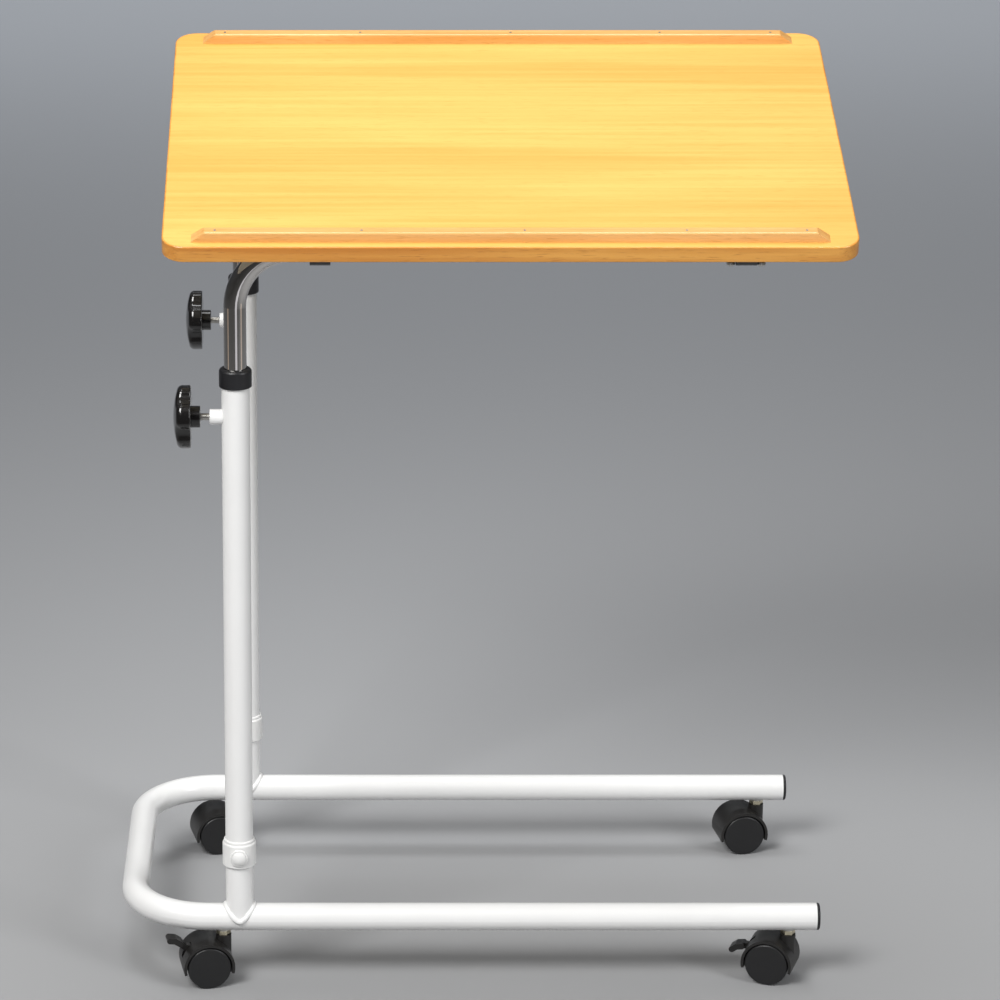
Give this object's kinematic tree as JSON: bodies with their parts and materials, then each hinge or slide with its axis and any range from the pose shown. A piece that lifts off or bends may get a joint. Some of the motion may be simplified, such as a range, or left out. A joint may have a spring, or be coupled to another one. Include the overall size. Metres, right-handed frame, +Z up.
{
  "type": "overbed table",
  "caption": "Overbed table: tilting wood-look top with retaining lips on two clamped telescopic columns, over a U-shaped tube base on swivelling twin-wheel castors.",
  "frame": {"origin": "on the floor, under the middle of the table as it stands in its rest pose", "axes": "+X along the top, from the columns to the open end of the base; +Y from the low front edge to the raised rear edge; +Z up"},
  "size_m": [0.6492, 0.3894, 0.8167],
  "materials": {
    "white_paint": "smooth powder coat",
    "white_plastic": "satin moulded plastic",
    "chrome": "polished",
    "black_plastic": "satin moulded plastic",
    "knob_black": "glossy moulded plastic",
    "zinc_steel": "zinc plated",
    "castor_metal": "yellow zinc plated",
    "chipboard": "pressed wood chips",
    "maple_laminate": "satin laminate with fine grain along X",
    "backing": "plain backing sheet",
    "edge_wood": "satin edge band with grain",
    "beech": "satin lacquered beech",
    "castor_black": "moulded nylon",
    "axle_steel": "plain",
    "wheel_black": "moulded nylon"
  },
  "bodies": {
    "base": {"base_frame": "white_paint", "leg_plugs": "black_plastic", "castor_sockets": "zinc_steel", "castor_stems": "castor_metal", "post_stub_front": "white_paint", "post_tube_front": "white_paint", "post_collar_front": "white_plastic", "post_cap_front": "black_plastic", "clamp_boss_front": "white_paint", "post_stub_rear": "white_paint", "post_tube_rear": "white_paint", "post_collar_rear": "white_plastic", "post_cap_rear": "black_plastic", "clamp_boss_rear": "white_paint"},
    "top": {"board_core": "chipboard", "edge_band": "edge_wood", "top_laminate": "maple_laminate", "backing_laminate": "backing", "lip_front": "beech", "lip_rear": "beech", "lip_pins": "zinc_steel", "saddle_screws": "zinc_steel", "saddle_front_left": "black_plastic", "saddle_front_right": "black_plastic", "saddle_rear_left": "black_plastic", "saddle_rear_right": "black_plastic"},
    "column_front": {"column_front": "chrome", "column_foot_front": "black_plastic", "column_plug_front": "black_plastic", "stop_screws_front": "zinc_steel"},
    "knob_front": {"knob_front": "knob_black", "clamp_screw_front": "zinc_steel"},
    "button_front": {"snap_button_front": "white_plastic"},
    "column_rear": {"column_rear": "chrome", "column_foot_rear": "black_plastic", "column_plug_rear": "black_plastic", "stop_screws_rear": "zinc_steel"},
    "knob_rear": {"knob_rear": "knob_black", "clamp_screw_rear": "zinc_steel"},
    "button_rear": {"snap_button_rear": "white_plastic"},
    "castor_front_left": {"castor_hood_front_left": "castor_black", "castor_axle_front_left": "axle_steel"},
    "wheel_near_front_left": {"wheel_near_front_left": "wheel_black"},
    "wheel_far_front_left": {"wheel_far_front_left": "wheel_black"},
    "castor_front_right": {"castor_hood_front_right": "castor_black", "castor_axle_front_right": "axle_steel"},
    "wheel_near_front_right": {"wheel_near_front_right": "wheel_black"},
    "wheel_far_front_right": {"wheel_far_front_right": "wheel_black"},
    "castor_rear_left": {"castor_hood_rear_left": "castor_black", "castor_axle_rear_left": "axle_steel"},
    "wheel_near_rear_left": {"wheel_near_rear_left": "wheel_black"},
    "wheel_far_rear_left": {"wheel_far_rear_left": "wheel_black"},
    "castor_rear_right": {"castor_hood_rear_right": "castor_black", "castor_axle_rear_right": "axle_steel"},
    "wheel_near_rear_right": {"wheel_near_rear_right": "wheel_black"},
    "wheel_far_rear_right": {"wheel_far_rear_right": "wheel_black"},
    "lever_left": {"brake_lever_left": "castor_black"},
    "lever_right": {"brake_lever_right": "castor_black"}
  },
  "joints": [
    {"name": "height", "type": "slide", "parent": "base", "child": "column_front", "axis": [0, 0, 1], "range_m": [-0.05, 0.15]},
    {"name": "tilt", "type": "hinge", "parent": "column_front", "child": "top", "pos_m": [0.02435, -0.15004, 0.6919], "axis": [1, 0, 0], "range_deg": [-15.2, 2.8]},
    {"name": "rear_height", "type": "slide", "parent": "column_front", "child": "column_rear", "axis": [0, 0, 1], "range_m": [-0.08499, 0.01574]},
    {"name": "knob_front_turn", "type": "hinge", "parent": "base", "child": "knob_front", "pos_m": [-0.25365, -0.15004, 0.5412], "axis": [-1, 0, 0], "range_deg": [0, 540]},
    {"name": "button_front_press", "type": "slide", "parent": "base", "child": "button_front", "axis": [0, 1, 0], "range_m": [0, 0.0026], "stiffness_N_per_m": 600, "springref_m": -0.002},
    {"name": "knob_rear_turn", "type": "hinge", "parent": "base", "child": "knob_rear", "pos_m": [-0.25365, 0.15996, 0.5412], "axis": [-1, 0, 0], "range_deg": [0, 540]},
    {"name": "button_rear_press", "type": "slide", "parent": "base", "child": "button_rear", "axis": [0, -1, 0], "range_m": [0, 0.0026], "stiffness_N_per_m": 600, "springref_m": -0.002},
    {"name": "swivel_front_left", "type": "hinge", "parent": "base", "child": "castor_front_left", "pos_m": [-0.22885, -0.15004, 0.04], "axis": [0, 0, 1], "continuous": true},
    {"name": "roll_near_front_left", "type": "hinge", "parent": "castor_front_left", "child": "wheel_near_front_left", "pos_m": [-0.24413, -0.15262, 0.02], "axis": [-0.1668, 0.986, 0], "continuous": true},
    {"name": "roll_far_front_left", "type": "hinge", "parent": "castor_front_left", "child": "wheel_far_front_left", "pos_m": [-0.24413, -0.15262, 0.02], "axis": [-0.1668, 0.986, 0], "continuous": true},
    {"name": "brake_left", "type": "hinge", "parent": "castor_front_left", "child": "lever_left", "pos_m": [-0.25596, -0.15462, 0.034], "axis": [0.1668, -0.986, 0], "range_deg": [0, 45]},
    {"name": "swivel_front_right", "type": "hinge", "parent": "base", "child": "castor_front_right", "pos_m": [0.28785, -0.15004, 0.04], "axis": [0, 0, 1], "continuous": true},
    {"name": "roll_near_front_right", "type": "hinge", "parent": "castor_front_right", "child": "wheel_near_front_right", "pos_m": [0.27311, -0.14525, 0.02], "axis": [0.309, 0.9511, 0], "continuous": true},
    {"name": "roll_far_front_right", "type": "hinge", "parent": "castor_front_right", "child": "wheel_far_front_right", "pos_m": [0.27311, -0.14525, 0.02], "axis": [0.309, 0.9511, 0], "continuous": true},
    {"name": "brake_right", "type": "hinge", "parent": "castor_front_right", "child": "lever_right", "pos_m": [0.2617, -0.14154, 0.034], "axis": [-0.309, -0.9511, 0], "range_deg": [-45, 0]},
    {"name": "swivel_rear_left", "type": "hinge", "parent": "base", "child": "castor_rear_left", "pos_m": [-0.22885, 0.15996, 0.04], "axis": [0, 0, 1], "continuous": true},
    {"name": "roll_near_rear_left", "type": "hinge", "parent": "castor_rear_left", "child": "wheel_near_rear_left", "pos_m": [-0.24398, 0.15661, 0.02], "axis": [-0.2164, 0.9763, 0], "continuous": true},
    {"name": "roll_far_rear_left", "type": "hinge", "parent": "castor_rear_left", "child": "wheel_far_rear_left", "pos_m": [-0.24398, 0.15661, 0.02], "axis": [-0.2164, 0.9763, 0], "continuous": true},
    {"name": "swivel_rear_right", "type": "hinge", "parent": "base", "child": "castor_rear_right", "pos_m": [0.28785, 0.15996, 0.04], "axis": [0, 0, 1], "continuous": true},
    {"name": "roll_near_rear_right", "type": "hinge", "parent": "castor_rear_right", "child": "wheel_near_rear_right", "pos_m": [0.27254, 0.15754, 0.02], "axis": [-0.1564, 0.9877, 0], "continuous": true},
    {"name": "roll_far_rear_right", "type": "hinge", "parent": "castor_rear_right", "child": "wheel_far_rear_right", "pos_m": [0.27254, 0.15754, 0.02], "axis": [-0.1564, 0.9877, 0], "continuous": true}
  ],
  "couplings": [
    {"joint": "rear_height", "follows": "tilt", "m_per_rad": 0.32}
  ]
}
